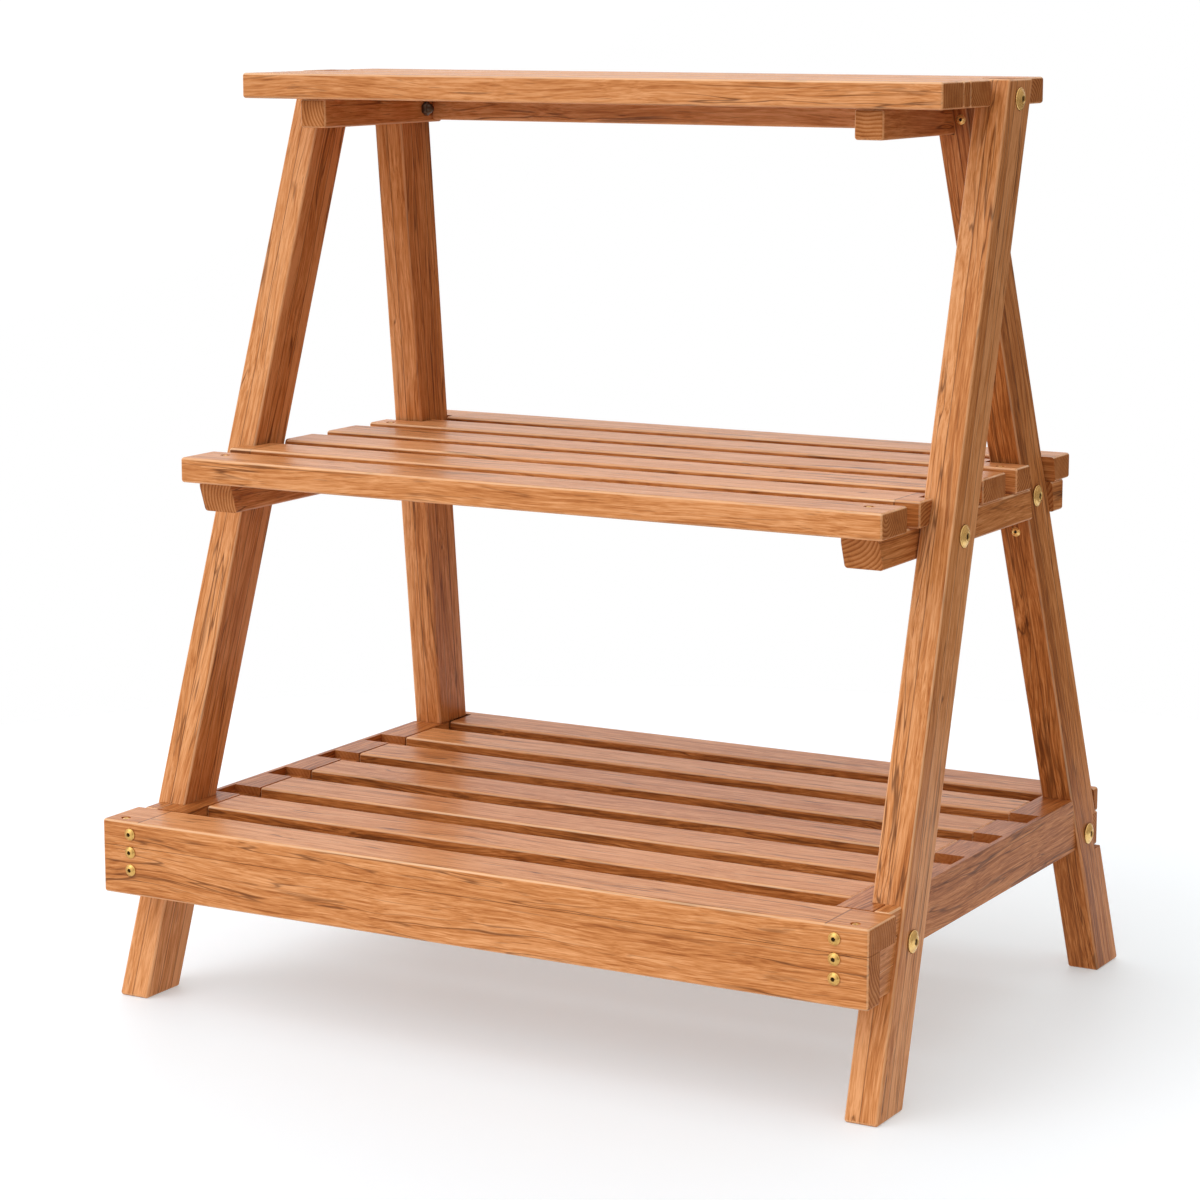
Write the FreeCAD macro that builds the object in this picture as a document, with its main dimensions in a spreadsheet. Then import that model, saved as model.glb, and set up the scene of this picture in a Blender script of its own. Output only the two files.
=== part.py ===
import FreeCAD
import Part
import Sketcher
import os
import re

doc = FreeCAD.newDocument("plant_stand")

# Sizes in millimetres
driving_sizes = {
    "lower_width": 700,
    "lower_height": 157,
    "mid_height": 452,
    "top_height": 766,
    "lower_reach": 266.8,
    "top_reach": 90.8,
    "mid_slat_lead": 28.8,
    "mid_overhang": 8.7,
    "mid_inner_overhang": 2,
    "top_overhang": 17,
    "slat_thick": 21,
    "lower_slat_width": 49,
    "lower_slat_gap": 28.5,
    "mid_slat_width": 46.5,
    "mid_slat_gap": 22.5,
    "top_slat_width": 40,
    "top_slat_gap": 13.4,
    "edge_round": 2.5,
    "leg_thick": 28,
    "leg_depth": 47,
    "front_foot_proud": 20.5,
    "front_foot_setback": 17.5,
    "front_top_lead": 2.6,
    "front_splay_in": 19.5,
    "rear_foot_proud": 13,
    "rear_foot_hold": 24.5,
    "rear_top_inset": 8.5,
    "rear_splay_in": 63.5,
    "apron_thick": 22,
    "apron_height": 41.5,
    "rear_apron_thick": 17,
    "rear_apron_height": 30,
    "rail_inset": 20,
    "rail_thick": 30,
    "rail_height": 45,
    "recess_depth": 7,
    "recess_lip": 4,
    "tenon_length": 8,
    "tenon_width": 30,
    "tenon_thick": 9,
    "corner_inset": 6,
    "mid_bearer_thick": 32,
    "mid_bearer_height": 26,
    "mid_bearer_inset": 13,
    "mid_bearer_tail": 8,
    "top_bearer_thick": 25,
    "top_bearer_height": 24,
    "top_bearer_inset": 9,
    "top_bearer_tail": 7,
    "lap_keep": 14,
    "top_lap": 16,
    "spacer_length": 16,
    "stretcher_thick": 18,
    "stretcher_height": 22,
    "fit_gap": 0.2,
    "seam_gap": 0.4,
    "slat_clear": 3,
    "bolt_head_wide": 18,
    "bolt_head_high": 5,
    "bolt_rim": 1.4,
    "bolt_shank": 6,
    "bolt_socket": 5,
    "bolt_socket_deep": 2.5,
    "bolt_seat": 1.2,
    "lower_front_bolt_rise": 15,
    "lower_rear_bolt_rise": 10,
    "mid_bolt_rise": 17,
    "slat_bolt_drop": 15.5,
    "slat_bolt_grip": 25,
    "nut_wide": 12,
    "nut_high": 9,
    "nut_rim": 5,
    "nut_grip": 6,
    "button_head_wide": 10,
    "button_head_high": 3,
    "button_rim": 1,
    "button_shank": 4,
    "button_socket": 3,
    "button_socket_deep": 1.6,
    "button_inset": 28,
    "button_grip": 23,
    "cap_button_grip": 12,
    "mid_button_drop": 5,
    "low_button_drop": 20,
    "rear_high_button_drop": 6,
    "rear_low_button_drop": 20,
    "small_head_wide": 8,
    "small_head_high": 2,
    "small_rim": 0.6,
    "small_shank": 3,
    "small_socket": 2.5,
    "small_socket_deep": 1,
    "small_grip": 14,
    "small_inset": 16,
    "lock_seat": 1.2,
    "lock_drop": 24,
    "lock_grip": 12,
}

lower_slat_count = 7
mid_slat_count = 6
top_slat_count = 4
mid_long_slats = 2
bearer_rake_angle = 20
level_tolerance = 0.001

# Working length for the cutters, long enough to pass clear of what they cut
reach_formula = "(leg_thick + leg_depth)"

sheet = doc.addObject("Spreadsheet::Sheet", "Sizes")
for row, (size_name, size_value) in enumerate(driving_sizes.items(), start=1):
    sheet.set("A%d" % row, size_name)
    sheet.set("B%d" % row, str(size_value))
    sheet.setAlias("B%d" % row, size_name)
doc.recompute()

nodes = {}


def sized(formula):
    return re.sub(r"[a-z]+(?:_[a-z]+)+", lambda word: "Sizes." + word.group(0), formula)


def tie(thing, path, formula):
    thing.setExpression(path, sized(formula))


def place(thing, x, y, z):
    tie(thing, "Placement.Base.x", x)
    tie(thing, "Placement.Base.y", y)
    tie(thing, "Placement.Base.z", z)


def origin_feature(body, role):
    return [feature for feature in body.Origin.OriginFeatures if feature.Role == role][0]


def sketch_on(body, role):
    sketch = body.newObject("Sketcher::SketchObject", body.Name + "_sketch")
    sketch.AttachmentSupport = [(origin_feature(body, role), "")]
    sketch.MapMode = "FlatFace"
    return sketch


def draw_rectangle(body, width, depth):
    sketch = sketch_on(body, "XY_Plane")
    corners = [FreeCAD.Vector(x, y, 0) for x, y in ((0, 0), (20, 0), (20, 20), (0, 20))]
    for side in range(4):
        sketch.addGeometry(Part.LineSegment(corners[side], corners[(side + 1) % 4]), False)
    for side in range(4):
        sketch.addConstraint(Sketcher.Constraint("Coincident", side, 2, (side + 1) % 4, 1))
    sketch.addConstraint(Sketcher.Constraint("Coincident", 0, 1, -1, 1))
    for side in (0, 2):
        sketch.addConstraint(Sketcher.Constraint("Horizontal", side))
    for side in (1, 3):
        sketch.addConstraint(Sketcher.Constraint("Vertical", side))
    across = sketch.addConstraint(Sketcher.Constraint("DistanceX", 0, 1, 0, 2, 20))
    along = sketch.addConstraint(Sketcher.Constraint("DistanceY", 1, 1, 1, 2, 20))
    tie(sketch, "Constraints[%d]" % across, width)
    tie(sketch, "Constraints[%d]" % along, depth)
    return sketch


def new_body(name):
    body = doc.addObject("PartDesign::Body", name)
    body.Label = name
    return body


def lies_on_face(edge, solid, face):
    box = solid.Shape.BoundBox
    level = {"top": box.ZMax, "bottom": box.ZMin}[face]
    return all(abs(vertex.Z - level) < level_tolerance for vertex in edge.Vertexes)


def ease_edges(body, solid, seam_face=None):
    doc.recompute()
    eased = []
    for number, edge in enumerate(solid.Shape.Edges, start=1):
        if seam_face is None or not lies_on_face(edge, solid, seam_face):
            eased.append("Edge%d" % number)
    rounds = body.newObject("PartDesign::Fillet", body.Name + "_rounds")
    rounds.Base = (solid, eased)
    tie(rounds, "Radius", "edge_round")
    return rounds


def plank(name, size, corner, eased=True, seam_face=None):
    body = new_body(name)
    pad = body.newObject("PartDesign::Pad", name + "_pad")
    pad.Profile = draw_rectangle(body, size[0], size[1])
    tie(pad, "Length", size[2])
    if eased:
        ease_edges(body, pad, seam_face)
    place(body, *corner)
    return body


def leg_prism(name, end, height, grow=("0", "0", "0"), eased=False):
    inward, outward, around = grow
    body = new_body(name)
    section = draw_rectangle(
        body,
        "leg_thick + %s + %s" % (inward, outward),
        "leg_depth + 2 * %s" % around,
    )
    pad = body.newObject("PartDesign::Pad", name + "_pad")
    pad.Profile = section
    pad.UseCustomVector = True
    pad.AlongSketchNormal = True
    forward = 1 if end == "front" else -1
    tie(pad, "Direction.x", "-%s" % splay[end])
    tie(pad, "Direction.y", "%d * %s" % (forward, lean[end]))
    pad.setExpression("Direction.z", "1")
    tie(pad, "Length", height)
    if eased:
        ease_edges(body, pad)
    place(
        body,
        "%s - leg_thick - %s" % (foot_out[end], inward),
        "%s - %s" % (foot_front[end], around),
        "0",
    )
    return body


def box(name, size, corner):
    block = doc.addObject("Part::Box", name)
    for path, formula in zip(("Length", "Width", "Height"), size):
        tie(block, path, formula)
    place(block, *corner)
    return block


def cut_box(body, name, size, corner):
    block = body.newObject("PartDesign::SubtractiveBox", name)
    for path, formula in zip(("Length", "Width", "Height"), size):
        tie(block, path, formula)
    place(block, *corner)
    return block


def add_box(body, name, size, corner):
    block = body.newObject("PartDesign::AdditiveBox", name)
    for path, formula in zip(("Length", "Width", "Height"), size):
        tie(block, path, formula)
    place(block, *corner)
    return block


def repeat_along(body, feature, count, pitch):
    pattern = body.newObject("PartDesign::LinearPattern", feature.Name + "_row")
    pattern.Originals = [feature]
    pattern.Direction = (origin_feature(body, "Y_Axis"), [""])
    pattern.Occurrences = count
    tie(pattern, "Length", "%d * (%s)" % (count - 1, pitch))
    body.Tip = pattern
    return pattern


def carve(name, base, tools):
    for number, tool in enumerate(tools, start=1):
        cut = doc.addObject("Part::Cut", "%s_cut_%d" % (name, number))
        cut.Base = base
        cut.Tool = tool
        cut.Refine = True
        base = cut
    return base


def mirrored(name, thing):
    mirror = doc.addObject("Part::Mirroring", name)
    mirror.Source = thing
    mirror.Base = FreeCAD.Vector(0, 0, 0)
    mirror.Normal = FreeCAD.Vector(1, 0, 0)
    return mirror


def bundle(name, things):
    group = doc.addObject("Part::Compound", name)
    group.Links = things
    return group


def keep(name, thing):
    thing.Label = name
    nodes[name] = thing


def keep_pair(name, right):
    keep(name + "_right", right)
    keep(name + "_left", mirrored(name + "_mirror", right))


# Heights and depths that several pieces share
lower_under = "(lower_height - slat_thick)"
mid_under = "(mid_height - slat_thick)"
top_under = "(top_height - slat_thick)"
lower_pitch = "(lower_slat_width + lower_slat_gap)"
mid_pitch = "(mid_slat_width + mid_slat_gap)"
top_pitch = "(top_slat_width + top_slat_gap)"
lower_front = "(-lower_reach)"
top_front = "(-top_reach)"
lower_run = "%d * %s" % (lower_slat_count - 1, lower_pitch)
rail_out = "(lower_width / 2 - rail_inset)"
top_run = "%d * %s" % (top_slat_count - 1, top_pitch)
top_depth = "(%s + top_slat_width)" % top_run
top_bearer_back = "(%s + %s - top_bearer_tail)" % (top_front, top_depth)
third_front = "(%s + 2 * %s)" % (top_front, top_pitch)
apron_back = "(%s + apron_thick)" % lower_front
rear_slat_front = "(%s + %s)" % (lower_front, lower_run)
rear_apron_back = "(%s + lower_slat_width)" % rear_slat_front
rear_apron_front = "(%s - rear_apron_thick)" % rear_apron_back

# A front leg runs from its foot to the third top slat, a rear leg to the back of the top bearer
foot_out = {
    "front": "(%s + front_foot_proud)" % rail_out,
    "rear": "(%s + rear_foot_proud)" % rail_out,
}
splay = {
    "front": "(front_splay_in / top_height)",
    "rear": "(rear_splay_in / %s)" % top_under,
}
foot_front = {
    "front": "(%s + front_foot_setback)" % lower_front,
    "rear": "(%s - rear_foot_hold)" % rear_apron_back,
}
front_top = "(%s - front_top_lead)" % third_front
rear_top = "(%s - rear_top_inset - leg_depth)" % top_bearer_back
lean = {
    "front": "((%s - %s) / top_height)" % (front_top, foot_front["front"]),
    "rear": "((%s - %s) / %s)" % (foot_front["rear"], rear_top, top_under),
}

# The last but one middle slat straddles the rear legs
rear_screw_slat = mid_slat_count - 1
rear_screw_front = "(%s - %s * mid_height - mid_slat_lead)" % (foot_front["rear"], lean["rear"])
mid_front = "(%s - %d * %s)" % (rear_screw_front, rear_screw_slat - 1, mid_pitch)
mid_depth = "(%d * %s + mid_slat_width)" % (mid_slat_count - 1, mid_pitch)

rail_in = "(%s - rail_thick)" % rail_out
rail_under = "(lower_height - rail_height)"
corner_out = "(lower_width / 2 - corner_inset)"
rear_reach = "(%s - %s * lower_height)" % (foot_out["rear"], splay["rear"])
mid_leg_in = "(%s - leg_thick - %s * %s)" % (foot_out["front"], splay["front"], mid_under)
mid_bearer_out = "(%s - fit_gap)" % mid_leg_in
mid_bearer_in = "(%s - mid_bearer_thick)" % mid_bearer_out
mid_bearer_under = "(%s - mid_bearer_height)" % mid_under
top_bearer_out = "(%s - leg_thick - rear_splay_in + top_lap)" % foot_out["rear"]
top_bearer_in = "(%s - top_bearer_thick)" % top_bearer_out
top_bearer_under = "(%s - top_bearer_height)" % top_under
leg_top_in = "(%s - leg_thick - front_splay_in)" % foot_out["front"]
lower_lap = "(%s - %s * %s - lap_keep)" % (foot_out["rear"], splay["rear"], lower_under)
mid_lap = "(%s - %s * %s - lap_keep)" % (foot_out["rear"], splay["rear"], mid_under)
mid_length = "2 * (%s + mid_overhang)" % mid_bearer_out
mid_inner_length = "2 * (%s + mid_inner_overhang)" % mid_bearer_out
top_length = "2 * (%s + top_overhang)" % leg_top_in


# Fasteners: each is turned about its own axis, its head outward from the seat at its origin
turns = {
    "right": FreeCAD.Rotation(FreeCAD.Vector(0, 1, 0), 90),
    "inside": FreeCAD.Rotation(FreeCAD.Vector(0, 1, 0), -90),
    "forward": FreeCAD.Rotation(FreeCAD.Vector(1, 0, 0), 90),
    "backward": FreeCAD.Rotation(FreeCAD.Vector(1, 0, 0), -90),
    "up": FreeCAD.Rotation(),
}
opposite = {
    "right": turns["inside"],
    "forward": turns["backward"],
    "backward": turns["forward"],
    "up": FreeCAD.Rotation(FreeCAD.Vector(1, 0, 0), 180),
}


def draw_screw_profile(body, kind, length):
    sketch = sketch_on(body, "XZ_Plane")
    points = [(0, -30), (2, -30), (2, 0), (5, 0), (5, 1), (0, 3)]
    vectors = [FreeCAD.Vector(x, y, 0) for x, y in points]
    for start, end in zip(vectors[:4], vectors[1:5]):
        sketch.addGeometry(Part.LineSegment(start, end), False)
    dome = Part.Arc(vectors[4], FreeCAD.Vector(3, 2.4, 0), vectors[5])
    sketch.addGeometry(dome, False)
    sketch.addGeometry(Part.LineSegment(vectors[5], vectors[0]), False)
    drawn = sketch.Geometry[4]
    starts_at_rim = drawn.StartPoint.distanceToPoint(vectors[4]) < drawn.EndPoint.distanceToPoint(vectors[4])
    dome_start, dome_end = (1, 2) if starts_at_rim else (2, 1)
    joins = [(0, 2, 1, 1), (1, 2, 2, 1), (2, 2, 3, 1)]
    joins += [(3, 2, 4, dome_start), (4, dome_end, 5, 1), (5, 2, 0, 1)]
    for first, first_end, second, second_end in joins:
        sketch.addConstraint(Sketcher.Constraint("Coincident", first, first_end, second, second_end))
    for level in (0, 2):
        sketch.addConstraint(Sketcher.Constraint("Horizontal", level))
    for upright in (1, 3):
        sketch.addConstraint(Sketcher.Constraint("Vertical", upright))
    sketch.addConstraint(Sketcher.Constraint("PointOnObject", 5, 1, -2))
    sketch.addConstraint(Sketcher.Constraint("PointOnObject", 5, 2, -2))
    sketch.addConstraint(Sketcher.Constraint("PointOnObject", 4, 3, -2))
    sketch.addConstraint(Sketcher.Constraint("PointOnObject", 2, 1, -1))
    sizes = [
        (Sketcher.Constraint("DistanceX", 0, 1, 0, 2, 2), "%s_shank / 2" % kind),
        (Sketcher.Constraint("DistanceX", -1, 1, 2, 2, 5), "%s_head_wide / 2" % kind),
        (Sketcher.Constraint("DistanceY", 0, 2, 1, 2, 30), length),
        (Sketcher.Constraint("DistanceY", 3, 1, 3, 2, 1), "%s_rim" % kind),
        (Sketcher.Constraint("DistanceY", -1, 1, 5, 1, 3), "%s_head_high" % kind),
    ]
    for constraint, formula in sizes:
        number = sketch.addConstraint(constraint)
        tie(sketch, "Constraints[%d]" % number, formula)
    return sketch


def draw_hexagon(body, height, across_flats):
    sketch = sketch_on(body, "XY_Plane")
    tie(sketch, "AttachmentOffset.Base.z", height)
    ring = sketch.addGeometry(Part.Circle(FreeCAD.Vector(0, 0, 0), FreeCAD.Vector(0, 0, 1), 3), True)
    sketch.addConstraint(Sketcher.Constraint("Coincident", ring, 3, -1, 1))
    corner = FreeCAD.Vector(3, 0, 0)
    corners = [FreeCAD.Rotation(FreeCAD.Vector(0, 0, 1), 60 * side).multVec(corner) for side in range(6)]
    sides = []
    for side in range(6):
        line = Part.LineSegment(corners[side], corners[(side + 1) % 6])
        sides.append(sketch.addGeometry(line, False))
    for side in range(6):
        sketch.addConstraint(Sketcher.Constraint("Coincident", sides[side], 2, sides[(side + 1) % 6], 1))
        sketch.addConstraint(Sketcher.Constraint("PointOnObject", sides[side], 1, ring))
    for side in range(1, 6):
        sketch.addConstraint(Sketcher.Constraint("Equal", sides[0], sides[side]))
    sketch.addConstraint(Sketcher.Constraint("PointOnObject", sides[0], 1, -1))
    number = sketch.addConstraint(Sketcher.Constraint("Radius", ring, 3))
    tie(sketch, "Constraints[%d]" % number, "%s / sqrt(3)" % across_flats)
    return sketch


def turn_to(thing, rotation, at):
    thing.Placement = FreeCAD.Placement(FreeCAD.Vector(0, 0, 0), rotation)
    place(thing, *at)


def screw(name, kind, length, facing, at):
    body = new_body(name)
    turned = body.newObject("PartDesign::Revolution", name + "_turned")
    turned.Profile = draw_screw_profile(body, kind, length)
    turned.ReferenceAxis = (origin_feature(body, "Z_Axis"), [""])
    turned.Angle = 360
    doc.recompute()
    solid_volume = turned.Shape.Volume
    socket = body.newObject("PartDesign::Pocket", name + "_socket")
    socket.Profile = draw_hexagon(body, "%s_head_high" % kind, "%s_socket" % kind)
    tie(socket, "Length", "%s_socket_deep" % kind)
    doc.recompute()
    if socket.Shape.Volume >= solid_volume:
        raise RuntimeError(name + " has no socket")
    turn_to(body, turns[facing], at)
    return body


def bore(name, kind, length, facing, at):
    hole = doc.addObject("Part::Cylinder", name)
    tie(hole, "Radius", "%s_shank / 2 + fit_gap" % kind)
    tie(hole, "Height", "%s + fit_gap" % length)
    turn_to(hole, opposite[facing], at)
    return hole


def seat(name, kind, facing, at):
    flat = doc.addObject("Part::Cylinder", name)
    tie(flat, "Radius", "%s_head_wide / 2 + fit_gap" % kind)
    tie(flat, "Height", "leg_thick")
    turn_to(flat, turns[facing], at)
    return flat


class Fastener:
    def __init__(self, name, kind, length, facing, at):
        self.solid = screw(name, kind, length, facing, at)
        self.bore = bore(name + "_bore", kind, length, facing, at)
        self.seat = seat(name + "_seat", kind, facing, at)


def leg_bolt(name, end, height, inner_face):
    forward = "+" if end == "front" else "-"
    seat_x = "(%s - %s * %s - bolt_seat)" % (foot_out[end], splay[end], height)
    axis_y = "(%s + leg_depth / 2 %s %s * %s)" % (foot_front[end], forward, lean[end], height)
    length = "(%s - %s + nut_grip)" % (seat_x, inner_face)
    bolt = Fastener(name, "bolt", length, "right", (seat_x, axis_y, height))
    bolt.axis = (inner_face, axis_y, height)
    return bolt


def cap_nut(name, bolt):
    body = new_body(name)
    sketch = sketch_on(body, "XZ_Plane")
    points = [(3, 0), (6, 0), (6, 5), (3, 9), (0, 9), (0, 6), (3, 6)]
    vectors = [FreeCAD.Vector(x, y, 0) for x, y in points]
    for side in range(7):
        sketch.addGeometry(Part.LineSegment(vectors[side], vectors[(side + 1) % 7]), False)
    for side in range(7):
        sketch.addConstraint(Sketcher.Constraint("Coincident", side, 2, (side + 1) % 7, 1))
    for level in (0, 3, 5):
        sketch.addConstraint(Sketcher.Constraint("Horizontal", level))
    for upright in (1, 4, 6):
        sketch.addConstraint(Sketcher.Constraint("Vertical", upright))
    sketch.addConstraint(Sketcher.Constraint("PointOnObject", 0, 1, -1))
    sketch.addConstraint(Sketcher.Constraint("PointOnObject", 4, 1, -2))
    sizes = [
        (Sketcher.Constraint("DistanceX", -1, 1, 0, 1, 3), "bolt_shank / 2 + fit_gap / 2"),
        (Sketcher.Constraint("DistanceX", -1, 1, 0, 2, 6), "nut_wide / 2"),
        (Sketcher.Constraint("DistanceY", 1, 1, 1, 2, 5), "nut_rim"),
        (Sketcher.Constraint("DistanceX", 3, 2, 3, 1, 3), "nut_wide / 4"),
        (Sketcher.Constraint("DistanceY", -1, 1, 3, 1, 9), "nut_high"),
        (Sketcher.Constraint("DistanceY", 6, 2, 6, 1, 6), "nut_grip + fit_gap"),
    ]
    for constraint, formula in sizes:
        number = sketch.addConstraint(constraint)
        tie(sketch, "Constraints[%d]" % number, formula)
    turned = body.newObject("PartDesign::Revolution", name + "_turned")
    turned.Profile = sketch
    turned.ReferenceAxis = (origin_feature(body, "Z_Axis"), [""])
    turned.Angle = 360
    turn_to(body, turns["inside"], bolt.axis)
    return body


# One bolt at each crossing of a right leg with a shelf
lower_front_bolt = "(%s + lower_front_bolt_rise)" % rail_under
lower_rear_bolt = "(%s + lower_rear_bolt_rise)" % rail_under
mid_bolt = "(%s + mid_bolt_rise)" % mid_bearer_under
top_bolt = "(%s + top_bearer_height / 2)" % top_bearer_under
slat_bolt = "(top_height - slat_bolt_drop)"
slat_bolt_end = "(%s - slat_bolt_grip)" % leg_top_in
bolts = {
    "lower_front": leg_bolt("bolt_lower_front", "front", lower_front_bolt, rail_in),
    "lower_rear": leg_bolt("bolt_lower_rear", "rear", lower_rear_bolt, rail_in),
    "mid_front": leg_bolt("bolt_mid_front", "front", mid_bolt, mid_bearer_in),
    "mid_rear": leg_bolt("bolt_mid_rear", "rear", mid_bolt, mid_bearer_in),
    "top_rear": leg_bolt("bolt_top_rear", "rear", top_bolt, top_bearer_in),
    "top_front": leg_bolt("bolt_top_front", "front", slat_bolt, slat_bolt_end),
}
nuts = [cap_nut("nut_" + where, bolts[where]) for where in bolts if where != "top_front"]

# Button screws through the aprons into the ends of the side rails
button_x = "(lower_width / 2 - button_inset)"
slat_screw_length = "(lower_slat_width + cap_button_grip)"
apron_screw_length = "(apron_thick + button_grip)"
front_buttons = [
    Fastener("button_front_" + row, "button", length, "forward", (button_x, lower_front, height))
    for row, length, height in (
        ("high", slat_screw_length, "(%s + slat_thick / 2)" % lower_under),
        ("mid", apron_screw_length, "(%s - mid_button_drop)" % lower_under),
        ("low", apron_screw_length, "(%s - low_button_drop)" % lower_under),
    )
]
rear_button_x = "(%s + rail_thick / 2)" % rail_in
rear_buttons = [
    Fastener(
        "button_rear_" + row,
        "button",
        "(rear_apron_thick + button_grip)",
        "backward",
        (rear_button_x, rear_apron_back, "(%s - rear_%s_button_drop)" % (lower_under, row)),
    )
    for row in ("high", "low")
]

# Small screws, let in flush, from the slats into the boards and bearers under them
lower_small_seat = "(lower_height - small_head_high)"
mid_small_seat = "(mid_height - small_head_high)"
small_length = "(slat_thick + small_grip - small_head_high)"
apron_small = Fastener(
    "small_apron",
    "small",
    small_length,
    "up",
    ("(lower_width / 2 - small_inset)", "(%s + apron_thick / 2)" % lower_front, lower_small_seat),
)
mid_small_x = "(%s + mid_bearer_thick / 2)" % mid_bearer_in
mid_front_small = Fastener(
    "small_mid_front",
    "small",
    small_length,
    "up",
    (mid_small_x, "(%s + (mid_slat_width + mid_bearer_inset) / 2)" % mid_front, mid_small_seat),
)
mid_rear_small = Fastener(
    "small_mid_rear",
    "small",
    small_length,
    "up",
    (mid_small_x, "(%s + small_head_wide)" % rear_screw_front, mid_small_seat),
)

# Lock screws in the front faces of the rear legs, under the middle shelf and beside the top bearer
lock_mid_height = "(%s - lock_drop / 2)" % mid_bearer_under
lock_top_height = "(%s - lock_drop / 2)" % top_under


def lock_screw(name, height, across):
    front_y = "(%s - %s * %s + lock_seat)" % (foot_front["rear"], lean["rear"], height)
    return Fastener(name, "small", "lock_grip", "forward", (across, front_y, height))


locks = [
    lock_screw(
        "lock_mid",
        lock_mid_height,
        "(%s - %s * %s - leg_thick / 2)" % (foot_out["rear"], splay["rear"], lock_mid_height),
    ),
    lock_screw(
        "lock_top",
        lock_top_height,
        "((%s - %s * %s + %s) / 2)" % (foot_out["rear"], splay["rear"], lock_top_height, top_bearer_out),
    ),
]

# Spaces that the legs take up, used to cut what meets them
front_slab = leg_prism("front_slab", "front", "top_height", (reach_formula, reach_formula, "fit_gap"))
front_house = leg_prism("front_house", "front", "top_height", ("fit_gap", reach_formula, "fit_gap"))
front_notch = leg_prism("front_notch", "front", "top_height", ("slat_clear", reach_formula, "slat_clear"))
rear_slab = leg_prism("rear_slab", "rear", top_under, (reach_formula, reach_formula, "fit_gap"))
rear_notch = leg_prism("rear_notch", "rear", top_under, ("slat_clear", reach_formula, "slat_clear"))


def lap_space(name, lap, under, height):
    half = box(
        name + "_half",
        ("leg_thick + rail_thick", "2 * " + foot_front["rear"], height + " + 2 * fit_gap"),
        (lap + " - fit_gap", "0", under + " - fit_gap"),
    )
    common = doc.addObject("Part::Common", name)
    common.Base = rear_slab
    common.Tool = half
    return common


lower_lap_space = lap_space("lower_lap_space", lower_lap, rail_under, "rail_height")
mid_lap_space = lap_space("mid_lap_space", mid_lap, mid_bearer_under, "mid_bearer_height")


def leg_lap(name, lap, under, height):
    return box(
        name,
        ("rail_thick + leg_thick", "2 * " + foot_front["rear"], height + " + 2 * fit_gap"),
        (lap + " - rail_thick - leg_thick", "0", under + " - fit_gap"),
    )


# Legs
front_leg = leg_prism("front_leg_blank", "front", "top_height", eased=True)
front_bolts = [bolts[where] for where in ("lower_front", "mid_front", "top_front")]
front_leg_tools = [bolt.bore for bolt in front_bolts] + [bolt.seat for bolt in front_bolts]
keep_pair("front_leg", carve("front_leg", front_leg, front_leg_tools))

rear_leg = leg_prism("rear_leg_blank", "rear", top_under, eased=True)
rear_bolts = [bolts[where] for where in ("lower_rear", "mid_rear", "top_rear")]
rear_leg_tools = [
    leg_lap("leg_lap_lower", lower_lap, rail_under, "rail_height"),
    leg_lap("leg_lap_mid", mid_lap, mid_bearer_under, "mid_bearer_height"),
    leg_lap("leg_lap_top", "(%s + fit_gap)" % top_bearer_out, top_bearer_under, "top_bearer_height"),
    box(
        "leg_apron_space",
        (reach_formula + " * 2", reach_formula, "rear_apron_height + 2 * fit_gap"),
        (rail_in, rear_apron_front + " - fit_gap", "(%s - rear_apron_height - fit_gap)" % lower_under),
    ),
]
for fastener in rear_bolts + locks:
    rear_leg_tools += [fastener.bore, fastener.seat]
keep_pair("rear_leg", carve("rear_leg", rear_leg, rear_leg_tools))

# Lower shelf
front_button_bores = bundle("front_button_bores", [fastener.bore for fastener in front_buttons])
apron_tools = [
    front_button_bores,
    mirrored("front_button_bores_left", front_button_bores),
    apron_small.bore,
    mirrored("apron_small_bore_left", apron_small.bore),
]
front_apron = plank(
    "front_apron_blank",
    ("lower_width", "apron_thick", "apron_height - seam_gap"),
    ("-lower_width / 2", lower_front, "%s - apron_height" % lower_under),
    seam_face="top",
)
keep("lower_front_apron", carve("front_apron", front_apron, apron_tools))

rear_button_bores = bundle("rear_button_bores", [fastener.bore for fastener in rear_buttons])
rear_apron = plank(
    "rear_apron_blank",
    ("2 * " + rear_reach, "rear_apron_thick", "rear_apron_height"),
    ("-" + rear_reach, rear_apron_front, "%s - rear_apron_height" % lower_under),
)
rear_apron_tools = [rear_button_bores, mirrored("rear_button_bores_left", rear_button_bores)]
keep("lower_rear_apron", carve("rear_apron", rear_apron, rear_apron_tools))

rail = plank(
    "rail_blank",
    ("rail_thick", "%s - %s" % (rear_apron_front, apron_back), "rail_height"),
    (rail_in, apron_back, rail_under),
    eased=False,
)
cut_box(
    rail,
    "rail_front_step",
    ("rail_thick", "lower_slat_width - apron_thick + fit_gap", "slat_thick"),
    ("0", "0", "rail_height - slat_thick"),
)
cut_box(
    rail,
    "rail_rear_step",
    ("rail_thick", "lower_slat_width - rear_apron_thick + fit_gap", "slat_thick"),
    ("0", "%s - apron_thick - fit_gap" % lower_run, "rail_height - slat_thick"),
)
mortise = cut_box(
    rail,
    "rail_mortise",
    ("tenon_length + fit_gap", "tenon_width + 2 * fit_gap", "tenon_thick + 2 * fit_gap"),
    (
        "0",
        "%s + (lower_slat_width - tenon_width) / 2 - apron_thick - fit_gap" % lower_pitch,
        "rail_height - (slat_thick + tenon_thick) / 2 - fit_gap",
    ),
)
repeat_along(rail, mortise, lower_slat_count - 2, lower_pitch)
recess = cut_box(
    rail,
    "rail_recess",
    ("rail_thick - recess_lip", "lower_slat_gap", "recess_depth"),
    ("0", "2 * %s - lower_slat_gap - apron_thick" % lower_pitch, "rail_height - recess_depth"),
)
repeat_along(rail, recess, lower_slat_count - 3, lower_pitch)
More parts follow.
